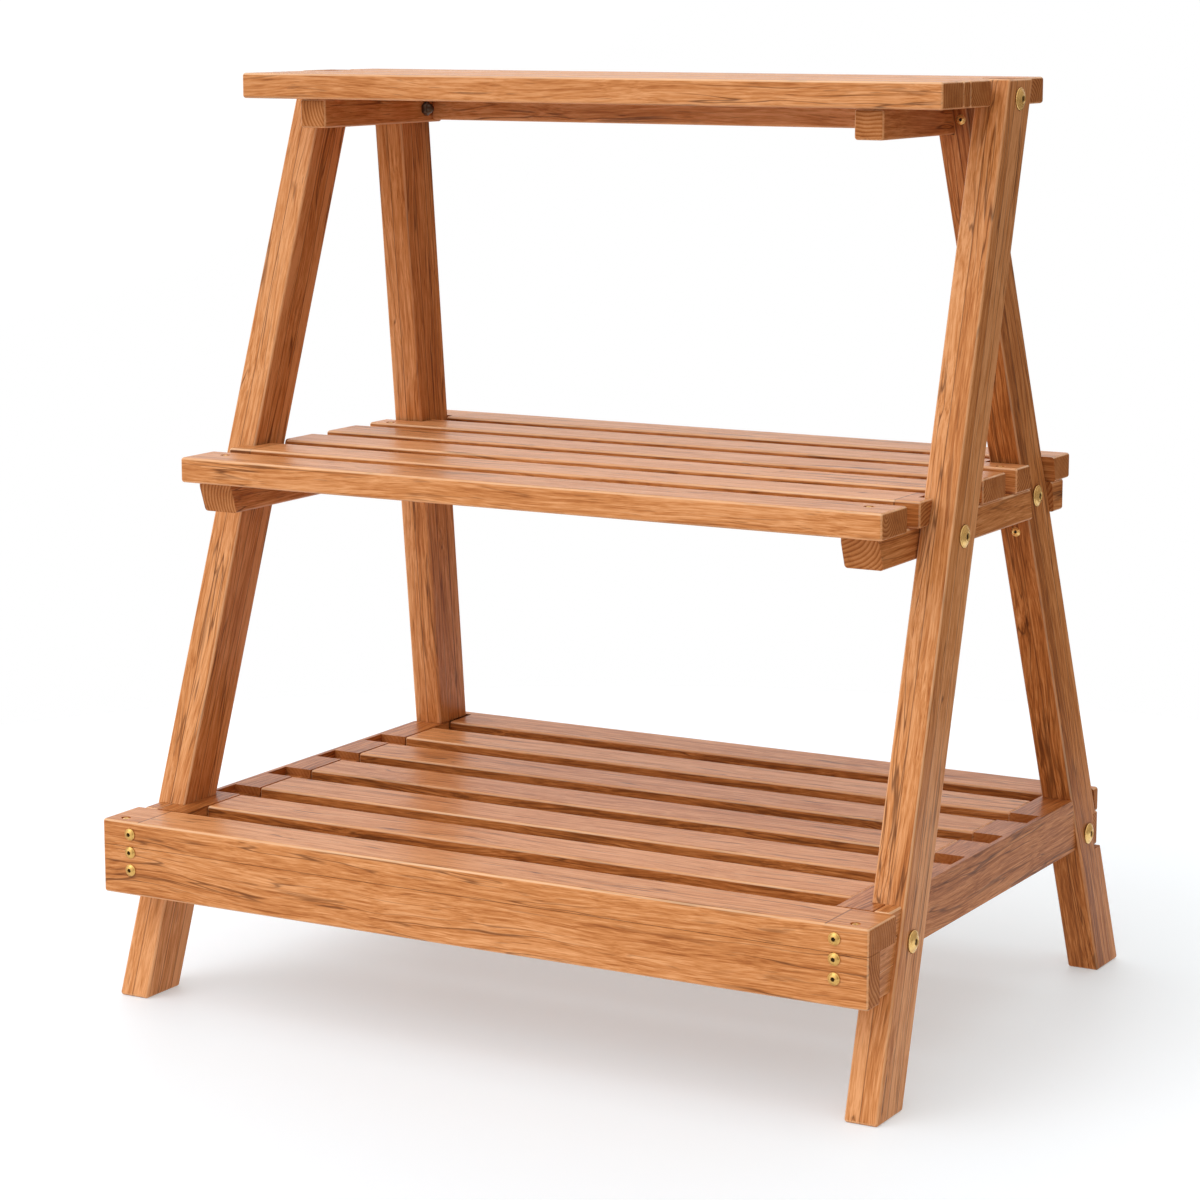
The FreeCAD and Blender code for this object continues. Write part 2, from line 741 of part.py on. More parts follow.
rail_tools = [front_house, lower_lap_space, bolts["lower_front"].bore, bolts["lower_rear"].bore]
rail_tools += [front_button_bores, rear_button_bores]
keep_pair("lower_rail", carve("rail", rail, rail_tools))


def corner_piece(name, start, under, height):
    blank = plank(
        name + "_blank",
        ("%s - %s" % (corner_out, rail_out), "leg_depth + lower_slat_width", height),
        (rail_out, start, under),
    )
    behind = leg_prism(name + "_behind", "front", "top_height", (reach_formula, reach_formula, "fit_gap"))
    tie(behind, "Placement.Base.y", "%s + leg_depth - fit_gap" % foot_front["front"])
    return carve(name, blank, [front_slab, behind])


keep_pair(
    "corner_block",
    corner_piece("corner_block", apron_back, "%s - apron_height" % lower_under, "apron_height"),
)
keep_pair(
    "corner_cap",
    corner_piece("corner_cap", "%s + lower_slat_width + fit_gap" % lower_front, lower_under, "slat_thick"),
)


def slat(name, length, front, width, under, seam_face=None):
    return plank(
        name,
        (length, width, "slat_thick"),
        ("-(%s) / 2" % length, front, under),
        seam_face=seam_face,
    )


def tenoned_slat(name, length, front, width, under):
    body = slat(name, length, front, width, under)
    add_box(
        body,
        name + "_tenons",
        ("%s + 2 * tenon_length" % length, "tenon_width", "tenon_thick"),
        ("-tenon_length", "(%s - tenon_width) / 2" % width, "(slat_thick - tenon_thick) / 2"),
    )
    return body


front_slat = slat("lower_slat_blank_1", "lower_width", lower_front, "lower_slat_width", lower_under, "bottom")
front_slat_tools = apron_tools + [apron_small.seat, mirrored("apron_small_seat_left", apron_small.seat)]
keep("lower_slat_1", carve("lower_slat_1", front_slat, front_slat_tools))
for number in range(2, lower_slat_count):
    front = "%s + %d * %s" % (lower_front, number - 1, lower_pitch)
    length = "2 * (%s - fit_gap)" % rail_in
    keep(
        "lower_slat_%d" % number,
        tenoned_slat("lower_slat_blank_%d" % number, length, front, "lower_slat_width", lower_under),
    )
rear_slat_name = "lower_slat_%d" % lower_slat_count
rear_slat = slat("rear_slat_blank", "2 * " + rear_reach, rear_slat_front, "lower_slat_width", lower_under)
rear_notch_left = mirrored("rear_notch_left", rear_notch)
keep(rear_slat_name, carve(rear_slat_name, rear_slat, [rear_notch, rear_notch_left]))

# Middle shelf
mid_bearer = plank(
    "mid_bearer_blank",
    ("mid_bearer_thick", "%s - mid_bearer_inset - mid_bearer_tail" % mid_depth, "mid_bearer_height"),
    (mid_bearer_in, "%s + mid_bearer_inset" % mid_front, mid_bearer_under),
)
bearer_front = "(%s + mid_bearer_inset)" % mid_front
bearer_rake = box(
    "bearer_rake",
    ("2 * mid_bearer_thick", "mid_bearer_thick", "2 * mid_bearer_height"),
    ("0", "0", "0"),
)
rake_turn = FreeCAD.Rotation(FreeCAD.Vector(1, 0, 0), bearer_rake_angle)
rake_sine = "sin(%d deg)" % bearer_rake_angle
rake_cosine = "cos(%d deg)" % bearer_rake_angle
rake_back = "mid_bearer_thick * %s - 2 * mid_bearer_height * %s" % (rake_cosine, rake_sine)
rake_down = "mid_bearer_thick * %s + 2 * mid_bearer_height * %s" % (rake_sine, rake_cosine)
turn_to(
    bearer_rake,
    rake_turn,
    (
        "%s - mid_bearer_thick / 2" % mid_bearer_in,
        "%s - (%s)" % (bearer_front, rake_back),
        "%s - (%s)" % (mid_under, rake_down),
    ),
)
mid_bearer_tools = [bearer_rake, mid_lap_space, bolts["mid_front"].bore, bolts["mid_rear"].bore]
mid_bearer_tools += [mid_front_small.bore, mid_rear_small.bore]
keep_pair("mid_bearer", carve("mid_bearer", mid_bearer, mid_bearer_tools))

front_notch_left = mirrored("front_notch_left", front_notch)
leg_notches = [front_notch, front_notch_left, rear_notch, rear_notch_left]
small_cuts = {1: mid_front_small, rear_screw_slat: mid_rear_small}
for number in range(1, mid_slat_count + 1):
    name = "mid_slat_%d" % number
    front = "%s + %d * %s" % (mid_front, number - 1, mid_pitch)
    length = mid_length if number <= mid_long_slats else mid_inner_length
    blank = slat("mid_slat_blank_%d" % number, length, front, "mid_slat_width", mid_under)
    tools = list(leg_notches)
    if number in small_cuts:
        for tool in (small_cuts[number].bore, small_cuts[number].seat):
            tools += [tool, mirrored("%s_%s_left" % (name, tool.Name), tool)]
    keep(name, carve(name, blank, tools))

# Top shelf
top_bearer = plank(
    "top_bearer_blank",
    ("top_bearer_thick", "%s - top_bearer_inset - top_bearer_tail" % top_depth, "top_bearer_height"),
    (top_bearer_in, "%s + top_bearer_inset" % top_front, top_bearer_under),
)
keep_pair("top_bearer", carve("top_bearer", top_bearer, [bolts["top_rear"].bore]))
keep(
    "top_stretcher",
    plank(
        "top_stretcher_blank",
        ("2 * %s - 2 * fit_gap" % top_bearer_in, "stretcher_thick", "stretcher_height"),
        (
            "-%s + fit_gap" % top_bearer_in,
            "%s - stretcher_thick" % top_bearer_back,
            "%s - stretcher_height" % top_under,
        ),
    ),
)



def top_spacer(name, gap_number, outer):
    gap_front = "%s + %d * %s - top_slat_gap + fit_gap" % (top_front, gap_number, top_pitch)
    return plank(
        name,
        ("spacer_length", "top_slat_gap - 2 * fit_gap", "slat_thick"),
        ("%s - spacer_length" % outer, gap_front, top_under),
    )


# Short spacers close the gaps between the top slats at their ends
slat_end = "(%s + top_overhang)" % leg_top_in
inner_end = "(%s - fit_gap)" % leg_top_in
spacer_ends = [slat_end] + [inner_end] * (top_slat_count - 2)
spacers = [top_spacer("top_spacer_%d" % gap, gap, end) for gap, end in enumerate(spacer_ends, start=1)]
keep_pair("top_end_block", bundle("top_end_block", spacers))

inner_length = "2 * (%s - fit_gap)" % leg_top_in
keep("top_slat_1", slat("top_slat_blank_1", top_length, top_front, "top_slat_width", top_under))
second_front = "%s + %s" % (top_front, top_pitch)
keep("top_slat_2", slat("top_slat_blank_2", top_length, second_front, "top_slat_width", top_under))
third_slat = slat("top_slat_blank_3", inner_length, third_front, "top_slat_width", top_under)
third_tools = [bolts["top_front"].bore, mirrored("slat_bolt_bore_left", bolts["top_front"].bore)]
keep("top_slat_3", carve("top_slat_3", third_slat, third_tools))
back_front = "%s + %s" % (top_front, top_run)
back_slat = slat("top_slat_blank_4", top_length, back_front, "top_slat_width", top_under)
keep("top_slat_4", carve("top_slat_4", back_slat, [front_notch, front_notch_left]))


# Fasteners in groups, right and left
def keep_group(name, solids):
    right = bundle(name + "_right", solids)
    keep(name, bundle(name, [right, mirrored(name + "_left", right)]))


keep_group("leg_bolts", [bolt.solid for bolt in bolts.values()])
keep_group("leg_nuts", nuts)
keep_group("front_apron_screws", [fastener.solid for fastener in front_buttons])
keep_group("rear_apron_screws", [fastener.solid for fastener in rear_buttons])
keep_group("slat_screws", [apron_small.solid, mid_front_small.solid, mid_rear_small.solid])
keep_group("leg_lock_screws", [fastener.solid for fastener in locks])

doc.recompute()
for thing in doc.Objects:
    if "Invalid" in thing.State or "Error" in thing.State:
        raise RuntimeError("%s failed: %s" % (thing.Name, thing.State))
for name, thing in nodes.items():
    if thing.Shape.isNull() or not thing.Shape.isValid() or not thing.Shape.Solids:
        raise RuntimeError(name + " has no valid solid")

os.makedirs("parts", exist_ok=True)
for name, thing in nodes.items():
    thing.Shape.exportStep("parts/%s.step" % name)
print("%d nodes, %d solids" % (len(nodes), sum(len(thing.Shape.Solids) for thing in nodes.values())))
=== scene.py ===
import math
import random
import bmesh
import bpy
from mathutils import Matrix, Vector


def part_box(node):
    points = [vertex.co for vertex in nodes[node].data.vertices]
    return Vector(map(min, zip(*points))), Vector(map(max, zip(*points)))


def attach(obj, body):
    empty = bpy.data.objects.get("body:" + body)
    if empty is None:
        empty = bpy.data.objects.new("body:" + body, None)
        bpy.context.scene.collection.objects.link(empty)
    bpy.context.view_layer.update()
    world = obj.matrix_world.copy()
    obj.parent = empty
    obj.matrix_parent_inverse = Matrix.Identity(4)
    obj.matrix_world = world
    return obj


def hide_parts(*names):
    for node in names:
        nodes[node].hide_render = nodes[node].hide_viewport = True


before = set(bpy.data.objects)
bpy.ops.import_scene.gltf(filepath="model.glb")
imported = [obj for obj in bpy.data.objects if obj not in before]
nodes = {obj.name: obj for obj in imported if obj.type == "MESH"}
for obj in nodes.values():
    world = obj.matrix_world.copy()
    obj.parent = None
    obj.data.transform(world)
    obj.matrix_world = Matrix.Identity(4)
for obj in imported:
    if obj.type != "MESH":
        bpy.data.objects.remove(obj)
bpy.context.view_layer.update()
skyward = (0, 0, 1)
print("frame: %d nodes" % len(nodes))


def addObject(name, data):
    thing = bpy.data.objects.new(name, data)
    bpy.context.scene.collection.objects.link(thing)
    return thing


# camera, fitted to the edges of the stand in a 1200 px square picture
view = {
    "pixels": 1200,
    "focal": 3386.9,  # in pixels
    "yaw": 29.338,
    "pitch": 10.094,
    "place": (1.3522, -2.4518, 0.8286),
    "sensor": 36,
}


def makeCamera():
    data = bpy.data.cameras.new("camera")
    data.sensor_width = view["sensor"]
    data.lens = view["sensor"] * view["focal"] / view["pixels"]
    camera = addObject("camera", data)
    camera.location = view["place"]
    camera.rotation_euler = (math.radians(90 - view["pitch"]), 0, math.radians(view["yaw"]))
    bpy.context.scene.camera = camera


makeCamera()
print("camera: %.1f mm lens" % bpy.context.scene.camera.data.lens)


# node maths: a socket that takes + - * / and **, and one method that adds any node to a tree
class Wire:
    def __init__(self, net, out):
        self.net = net
        self.out = out

    def maths(self, how, first, second):
        return self.net.maths(how, first, second)

    def __add__(self, other):
        return self.maths("ADD", self, other)

    def __radd__(self, other):
        return self.maths("ADD", other, self)

    def __sub__(self, other):
        return self.maths("SUBTRACT", self, other)

    def __rsub__(self, other):
        return self.maths("SUBTRACT", other, self)

    def __mul__(self, other):
        return self.maths("MULTIPLY", self, other)

    def __rmul__(self, other):
        return self.maths("MULTIPLY", other, self)

    def __truediv__(self, other):
        return self.maths("DIVIDE", self, other)

    def __pow__(self, other):
        return self.maths("POWER", self, other)


class Net:
    def __init__(self, tree):
        self.tree = tree

    def add(self, kind, settings, values, out=0):
        node = self.tree.nodes.new(kind)
        for key, value in settings.items():
            if key == "stops":
                while len(node.color_ramp.elements) < len(value):
                    node.color_ramp.elements.new(1)
                for element, (place, colour) in zip(node.color_ramp.elements, value):
                    element.position = place
                    element.color = colour
            else:
                setattr(node, key, value)
        pairs = values.items() if isinstance(values, dict) else enumerate(values)
        for key, value in pairs:
            if isinstance(value, Wire):
                self.feed(node.inputs[key], value)
            else:
                node.inputs[key].default_value = value
        return Wire(self, node.outputs[out])

    def feed(self, socket, wire):
        self.tree.links.new(wire.out, socket)

    def maths(self, how, *values):
        return self.add("ShaderNodeMath", {"operation": how}, values)

    def absolute(self, value):
        return self.maths("ABSOLUTE", value)

    def fromHalf(self, value):
        return self.absolute(value - 0.5)

    def fromMiddle(self, value):
        return self.fromHalf(self.maths("FRACT", value))

    def place(self, kind="Object"):
        return self.add("ShaderNodeTexCoord", {}, {}, kind)

    def dot(self, vector, direction):
        settings = {"operation": "DOT_PRODUCT"}
        return self.add("ShaderNodeVectorMath", settings, [vector, tuple(direction)], "Value")

    def scale(self, vector, size):
        values = {"Vector": vector, "Scale": size}
        return self.add("ShaderNodeVectorMath", {"operation": "SCALE"}, values)

    def join(self, x, y, z):
        return self.add("ShaderNodeCombineXYZ", {}, [x, y, z])

    def noise(self, vector, detail, rough=0.5):
        values = {"Vector": vector, "Scale": 1, "Detail": detail, "Roughness": rough}
        return self.add("ShaderNodeTexNoise", {"noise_dimensions": "3D"}, values)

    def ease(self, value, start, stop, low=0, high=1):
        settings = {"interpolation_type": "SMOOTHSTEP", "clamp": True}
        values = {"Value": value, "From Min": start, "From Max": stop, "To Min": low, "To Max": high}
        return self.add("ShaderNodeMapRange", settings, values)

    def ramp(self, value, stops):
        return self.add("ShaderNodeValToRGB", {"stops": stops}, [value])

    def mix(self, first, second, share, how="MIX"):
        settings = {"data_type": "RGBA", "blend_type": how}
        return self.add("ShaderNodeMix", settings, {0: share, 6: first, 7: second}, 2)

    def bump(self, height, strength, distance):
        values = {"Strength": strength, "Distance": distance, "Height": height}
        return self.add("ShaderNodeBump", {}, values)

    def finish(self, values):
        shader = self.add("ShaderNodeBsdfPrincipled", {}, values)
        self.feed(self.tree.nodes.new("ShaderNodeOutputMaterial").inputs["Surface"], shader)


def blankMaterial(name):
    material = bpy.data.materials.new(name)
    material.use_nodes = True
    material.node_tree.nodes.clear()
    return material


# wood: honey brown, oiled, with grain along each piece; a higher tone is darker
wood = {
    "pale": (0.745, 0.348, 0.148, 1),
    "honey": (0.575, 0.224, 0.07, 1),
    "brown": (0.4, 0.128, 0.031, 1),
    "dark": (0.19, 0.054, 0.012, 1),
    "line": (0.11, 0.03, 0.007, 1),
    "endTint": (0.76, 0.7, 0.63, 1),
    # colour of the pale rounded edges: partly rubbed wear, partly painted highlight
    "wornAndLitEdge": (1.0, 0.69, 0.43, 1),
    "stops": {"pale": 0.12, "honey": 0.42, "brown": 0.7, "dark": 1.0},
    "baseTone": 0.42,
    "toneSeed": 11,
    "toneSpread": 0.07,
    "grainSeed": 40,
    "grainMove": 4,
    "upright": 0.6,
    "paintedGapShade": 0.3,  # painted shade on the slat sides that face into the gaps
    # painted light: the lower and mid slat tops are made paler where they face up
    "paintedTopLight": {"lower": 0.14, "mid": 0.08},
    "topFace": (0.6, 0.95),  # how squarely a face has to look that way
    "gapFace": (0.6, 0.95),
    "endFace": (0.75, 0.95),
    # painted light and shade: whole pieces are made lighter or darker, the front legs, mid and top slats
    # and the stretcher lighter, the rear right leg and the lower rails darker
    "lift": {
        "front_leg": -0.13,
        "front_leg_left": -0.05,
        "rear_leg_left": 0.02,
        "rear_leg_right": 0.21,
        "mid_slat": -0.07,
        "top_slat": -0.08,
        "top_stretcher": -0.1,
        "lower_rail": 0.17,
        "lower_front_apron": 0.025,
        "lower_slat": 0.03,
    },
}
sawnFrom = {"lower_slat_1": "lower_front_apron"}  # one board, so the grain runs on

# layers of grain, with how often each changes in a metre along and across the piece
grains = {
    "streak": {"along": 12, "across": 380, "detail": 4, "rough": 0.7, "salt": 5.2},
    "fibre": {"along": 55, "across": 1100, "detail": 2, "rough": 0.6, "salt": 9.4},
    "broad": {"along": 2.2, "across": 62, "detail": 2, "rough": 0.5, "salt": 2.6},
    "patch": {"along": 4.5, "across": 75, "detail": 1, "rough": 0.5, "salt": 4.4},
    "lines": {"along": 3.2, "across": 95, "detail": 2, "rough": 0.55, "salt": 6.3},
    "fine": {"along": 6, "across": 240, "detail": 1, "rough": 0.5, "salt": 8.8},
    "pores": {"along": 34, "across": 560, "detail": 1, "rough": 0.5, "salt": 0.7},
}
toneShares = {"streak": 1.35, "fibre": 0.8, "broad": 0.5}

# the grain wanders a little, in long and in short waves
sideWaves = [
    {"along": 2.6, "across": 7, "detail": 2, "rough": 0.5, "salt": 3.1, "swing": 0.036},
    {"along": 9, "across": 25, "detail": 2, "rough": 0.5, "salt": 1.3, "swing": 0.008},
]
upWaves = [
    {"along": 2.1, "across": 7, "detail": 2, "rough": 0.5, "salt": 7.7, "swing": 0.036},
    {"along": 8, "across": 25, "detail": 2, "rough": 0.5, "salt": 5.9, "swing": 0.008},
]
marks = {
    "patch": (0.42, 0.62),  # lines come in patches
    "lineWide": 0.026,
    "lineShow": 0.75,
    "fineWide": 0.06,
    "fineTone": 0.1,
    "pore": (0.66, 0.76),
    "poreShow": 0.36,
    "seamShow": 0.65,
    "endHides": 0.7,
}

# the legs are glued up from narrow staves
legs = {
    "thick": 0.028,
    "deep": 0.047,
    "stave": 0.0165,
    "row": 7,
    "slip": 0.06,
    "spread": 0.13,
    "slide": 5,
    "seam": (0.455, 0.5),
}

# short pieces glued on at the ends of two slats
tips = {
    "long": {"lower_slat_1": 0.036, "mid_slat_2": 0.022},
    "edge": 0.0003,
    "seam": (0.0011, 0.0004),
    "tone": 0.13,
    "slide": 3,
}

# growth rings on the ends, darker and duller
ends = {
    "ringGap": 0.0032,
    "pith": (0.02, 0.06),
    "darkens": (0.2, 0.85),
    "breaks": (0.85, 1.0),
    "tone": 0.3,
    "ringTone": 0.42,
    "broad": 0.5,
    "fibre": 0.3,
    "railRings": 0.3,  # the rings hardly show in the recesses
}
# pale rounded edges: partly rubbed wear, partly a painted highlight, stronger where the edge looks up
edgeWearAndHighlight = {
    "legs": {"start": 0.97, "share": 0.8},
    "others": {"start": 0.985, "share": 0.95},
    "stop": 0.87,
    "streak": 0.7,
    "broad": 0.4,
    "broadFrom": (0.35, 0.7),
    "anywhere": 0.4,
    "onTop": 0.6,
    "topFrom": (0.1, 0.6),
}
relief = {
    "fibre": 0.4,
    "streak": 0.5,
    "lines": 0.5,
    "pores": 0.4,
    "seam": 0.6,
    "strength": 0.3,
    "deep": 0.0006,
}
gloss = {
    "rough": 0.36,
    "streakRough": 0.25,
    "endRough": 0.22,
    "specular": 0.1,
    "coat": 0.05,
    "endCoat": 0.04,
    "coatRough": 0.2,
}


def grainAxes(along):
    along = Vector(along).normalized()
    helper = Vector((0, 0, 1)) if abs(along.z) < wood["upright"] else Vector((1, 0, 0))
    across = along.cross(helper).normalized()
    return along, across, along.cross(across).normalized()


def gluedTips(net, piece, length, upward):
    off = net.absolute(length)
    tip = net.ease(off, piece["tipFrom"], piece["tipFrom"] + tips["edge"])
    seam = net.ease(net.absolute(off - piece["tipFrom"]), *tips["seam"])
    if piece["tipOnTop"]:
        return tip * upward, seam * upward
    return tip, seam


def staves(net, draw, seed, width, depth):
    across = width / legs["stave"] + 0.5 + draw.uniform(-legs["slip"], legs["slip"])
    through = depth / legs["stave"] + draw.uniform(-legs["slip"], legs["slip"])
    number = net.maths("FLOOR", across) + net.maths("FLOOR", through) * legs["row"] + seed
    shade = net.add("ShaderNodeTexWhiteNoise", {"noise_dimensions": "1D"}, {"W": number})
    edge = net.maths("MAXIMUM", net.fromMiddle(across), net.fromMiddle(through))
    return shade, net.ease(edge, *legs["seam"])


def lateWood(net, out, over):
    radius = (out * out + over * over) ** 0.5
    ring = net.maths("FRACT", radius / ends["ringGap"])
    return net.ease(ring, *ends["darkens"]) - net.ease(ring, *ends["breaks"])


def woodMaterial(piece):
    draw = random.Random(piece["seed"])
    material = blankMaterial("wood_" + piece["name"])
    net = Net(material.node_tree)
    axes = grainAxes(piece["along"])
    here = net.place()
    move = draw.uniform(-wood["grainMove"], wood["grainMove"])
    far = draw.uniform(-wood["grainMove"], wood["grainMove"])
    pithTurn = draw.uniform(0, 2 * math.pi)
    pithReach = draw.uniform(*ends["pith"])
    length, width, depth = [net.dot(here, axis) - piece["centre"].dot(axis) for axis in axes]
    facing = net.add("ShaderNodeNewGeometry", {}, {}, "Normal")
    squarely = [net.absolute(net.dot(facing, axis)) for axis in axes]
    rise = net.dot(facing, skyward)
    upward = net.ease(rise, *wood["topFace"])
    endGrain = net.ease(squarely[0], *wood["endFace"])

    tone = wood["baseTone"] + piece["tone"]
    seam = 0.0
    if piece["tipFrom"]:
        tip, seam = gluedTips(net, piece, length, upward)
        tone = tone + tip * tips["tone"]
        length = length + tip * tips["slide"]
    length = length + move
    if piece["glued"]:
        shade, seam = staves(net, draw, piece["seed"], width, depth)
        tone = tone + (shade - 0.5) * (2 * legs["spread"])
        length = length + shade * legs["slide"]

    def grain(layer, across, through):
        spot = net.join(
            length * layer["along"] + layer["salt"],
            across * layer["across"] + far,
            through * layer["across"],
        )
        return net.noise(spot, layer["detail"], layer["rough"])

    def bend(start, waves):
        for wave in waves:
            start = start + (grain(wave, width, depth) - 0.5) * wave["swing"]
        return start

    side = bend(width, sideWaves)
    up = bend(depth, upWaves)
    layers = {kind: grain(layer, side, up) for kind, layer in grains.items()}
    streak = layers["streak"]
    fibre = layers["fibre"]
    broad = layers["broad"]
    patch = net.ease(layers["patch"], *marks["patch"])
    lines = (1 - net.ease(net.fromHalf(layers["lines"]), 0, marks["lineWide"])) * patch
    fine = 1 - net.ease(net.fromHalf(layers["fine"]), 0, marks["fineWide"])
    pores = net.ease(layers["pores"], *marks["pore"])

    for kind, share in toneShares.items():
        tone = tone + (layers[kind] - 0.5) * share
    tone = tone + fine * marks["fineTone"]
    # painted shade: slat sides that face into the gaps are made darker
    if piece["paintedGapShade"]:
        tone = tone + net.ease(squarely[1], *wood["gapFace"]) * piece["paintedGapShade"]
    # painted light: upward faces of the slats are made paler
    if piece["paintedTopLight"]:
        tone = tone - upward * piece["paintedTopLight"]
    late = lateWood(net, side - pithReach * math.cos(pithTurn), up - pithReach * math.sin(pithTurn))
    endTone = ends["tone"] + (0.5 + (late - 0.5) * piece["rings"]) * ends["ringTone"]
    endTone = endTone + (broad - 0.5) * ends["broad"] + (fibre - 0.5) * ends["fibre"]
    tone = tone + (endTone - tone) * endGrain

    colour = net.ramp(tone, [(place, wood[shade]) for shade, place in wood["stops"].items()])
    dark = lines * marks["lineShow"] + pores * marks["poreShow"]
    colour = net.mix(colour, wood["line"], dark * (1 - endGrain * marks["endHides"]))
    if piece["glued"] or piece["tipFrom"]:
        colour = net.mix(colour, wood["line"], seam * marks["seamShow"])
    colour = net.mix(colour, wood["endTint"], endGrain, "MULTIPLY")

    # rounded edges are painted paler, partly as rubbed wear and partly as a painted highlight that is
    # stronger on upward edges: there the surface faces none of the piece's own axes
    edge = edgeWearAndHighlight["legs"] if piece["glued"] else edgeWearAndHighlight["others"]
    rounded = net.ease(net.maths("MAXIMUM", *squarely[1:]), edge["start"], edgeWearAndHighlight["stop"])
    edgeBreakup = streak * edgeWearAndHighlight["streak"] + net.ease(broad, *edgeWearAndHighlight["broadFrom"]) * edgeWearAndHighlight["broad"]
    wearAndHighlightShare = rounded * (1 - endGrain) * edgeBreakup * edge["share"]
    # painted highlight: edges that look up are made paler still
    wearAndHighlightShare = wearAndHighlightShare * (edgeWearAndHighlight["anywhere"] + edgeWearAndHighlight["onTop"] * net.ease(rise, *edgeWearAndHighlight["topFrom"]))
    colour = net.mix(colour, wood["wornAndLitEdge"], wearAndHighlightShare)

    height = fibre * relief["fibre"] + streak * relief["streak"]
    height = height - lines * relief["lines"] - pores * relief["pores"] - seam * relief["seam"]
    net.finish({
        "Base Color": colour,
        "Roughness": gloss["rough"] + (streak - 0.5) * gloss["streakRough"] + endGrain * gloss["endRough"],
        "Specular IOR Level": gloss["specular"],
        "Coat Weight": gloss["coat"] - endGrain * gloss["endCoat"],
        "Coat Roughness": gloss["coatRough"],
        "Normal": net.bump(height, relief["strength"], relief["deep"]),
    })
    return material


def legDirection(name):
    low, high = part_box(name)
    inward = (high.x - low.x) - legs["thick"]
    run = (high.y - low.y) - legs["deep"]
    sideways = -inward if name.endswith("right") else inward
    return sideways, run if name.startswith("front") else -run, high.z - low.z


def grainOf(name):
    if "leg" in name:
        return legDirection(name)
    if "rail" in name or "bearer" in name or "corner" in name:
        return 0, 1, 0
    return 1, 0, 0


def tipStart(name):
    if name not in tips["long"]:
        return 0
    low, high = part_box(name)
    return (high.x - low.x) / 2 - tips["long"][name]


metalWords = ("bolts", "nuts", "screws")
woodNodes = sorted(name for name in nodes if not any(word in name for word in metalWords))
tones = random.Random(wood["toneSeed"])
shifts = {}
for name in woodNodes:
    shifts[name] = tones.uniform(-wood["toneSpread"], wood["toneSpread"])
    # the lift table paints light and shade onto whole pieces
    shifts[name] += sum(lift for start, lift in wood["lift"].items() if name.startswith(start))
for name in woodNodes:
    board = sawnFrom.get(name, name)
    low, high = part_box(board)
    besideGap = "_slat_" in name and not name.endswith("_1")
    material = woodMaterial({
        "name": name,
        "along": grainOf(name),
        "centre": (low + high) / 2,
        "seed": wood["grainSeed"] + woodNodes.index(board),
        "tone": shifts[board],
        "glued": "leg" in name,
        "tipFrom": tipStart(name),
        "tipOnTop": name in sawnFrom,
        "paintedGapShade": wood["paintedGapShade"] if besideGap else 0,
        "paintedTopLight": wood["paintedTopLight"].get(name.split("_slat_")[0], 0),
        "rings": ends["railRings"] if "rail" in name else 1,
    })
    nodes[name].data.materials.clear()
    nodes[name].data.materials.append(material)
print("wood: %d pieces dressed" % len(woodNodes))


# brass and dark steel; a head's socket is painted darker inside, as painted shade
finishes = {
    "polished_brass": {
        "colour": (1.0, 0.66, 0.24, 1),
        "worn": (0.72, 0.39, 0.1, 1),
        "rough": 0.26,
        "metallic": 0.6,
    },
    "dull_brass": {
        "colour": (0.7, 0.42, 0.125, 1),
        "worn": (0.38, 0.215, 0.055, 1),
        "rough": 0.3,
        "metallic": 0.85,
    },
    "black_steel": {
        "colour": (0.1, 0.07, 0.05, 1),
        "worn": (0.18, 0.13, 0.09, 1),
        "rough": 0.42,
        "metallic": 0.8,
    },
}
metal = {
    "recess": (0.045, 0.026, 0.01, 1),
    "recessRough": 0.3,
    "cloudScale": 240,
    "cloudFrom": (0.4, 0.8),
    "cloudShow": 0.6,
    "cloudRough": 0.12,
    "scratchScale": 2600,
    "scratchBump": 0.015,
    "scratchDeep": 0.0001,
    "detail": 2,
}


def metalMaterial(name, look):
    material = blankMaterial(name)
    net = Net(material.node_tree)
    here = net.place()
    cloud = net.noise(net.scale(here, metal["cloudScale"]), metal["detail"])
    scratch = net.noise(net.scale(here, metal["scratchScale"]), metal["detail"])
    # painted shade inside the socket: its inner rings get a very dark colour
    recess = net.add("ShaderNodeAttribute", {"attribute_name": "recess"}, {}, "Fac")
    worn = net.ease(cloud, *metal["cloudFrom"]) * metal["cloudShow"]
    rough = look["rough"] + (cloud - 0.5) * metal["cloudRough"] + recess * metal["recessRough"]
    net.finish({
        "Base Color": net.mix(net.mix(look["colour"], look["worn"], worn), metal["recess"], recess),
        "Metallic": look["metallic"],
        "Roughness": rough,
        "Normal": net.bump(scratch, metal["scratchBump"], metal["scratchDeep"]),
    })
    return material


metals = {name: metalMaterial(name, look) for name, look in finishes.items()}


# fasteners: one head for each kind, set out by a node tree where the solids have them
heads = {
    "leg_bolts": {
        "piece": "brass_leg_bolts",
        "finish": "polished_brass",
        "wide": 0.0177,
        "high": 0.0036,  # starts level with the leg, the solid one in a seat
        "shank": 0.006,
        "facing": "outward",
    },
    "front_apron_screws": {
        "piece": "brass_apron_screws",
        "finish": "dull_brass",
        "wide": 0.010,
        "high": 0.003,
        "shank": 0.004,
        "facing": "front",
    },
    "rear_apron_screws": {
        "piece": "brass_rear_screws",
        "finish": "dull_brass",
        "wide": 0.010,
        "high": 0.003,
        "shank": 0.004,
        "facing": "back",
    },
    "slat_screws": {
        "piece": "brass_slat_screws",
        "finish": "polished_brass",
        "wide": 0.008,
        "high": 0.002,
        "shank": 0.003,
        "facing": "up",
    },
    "leg_lock_screws": {
        "piece": "brass_lock_screws",
        "finish": "polished_brass",
        "wide": 0.008,
        "high": 0.002,
        "shank": 0.003,
        "facing": "front",
    },
}
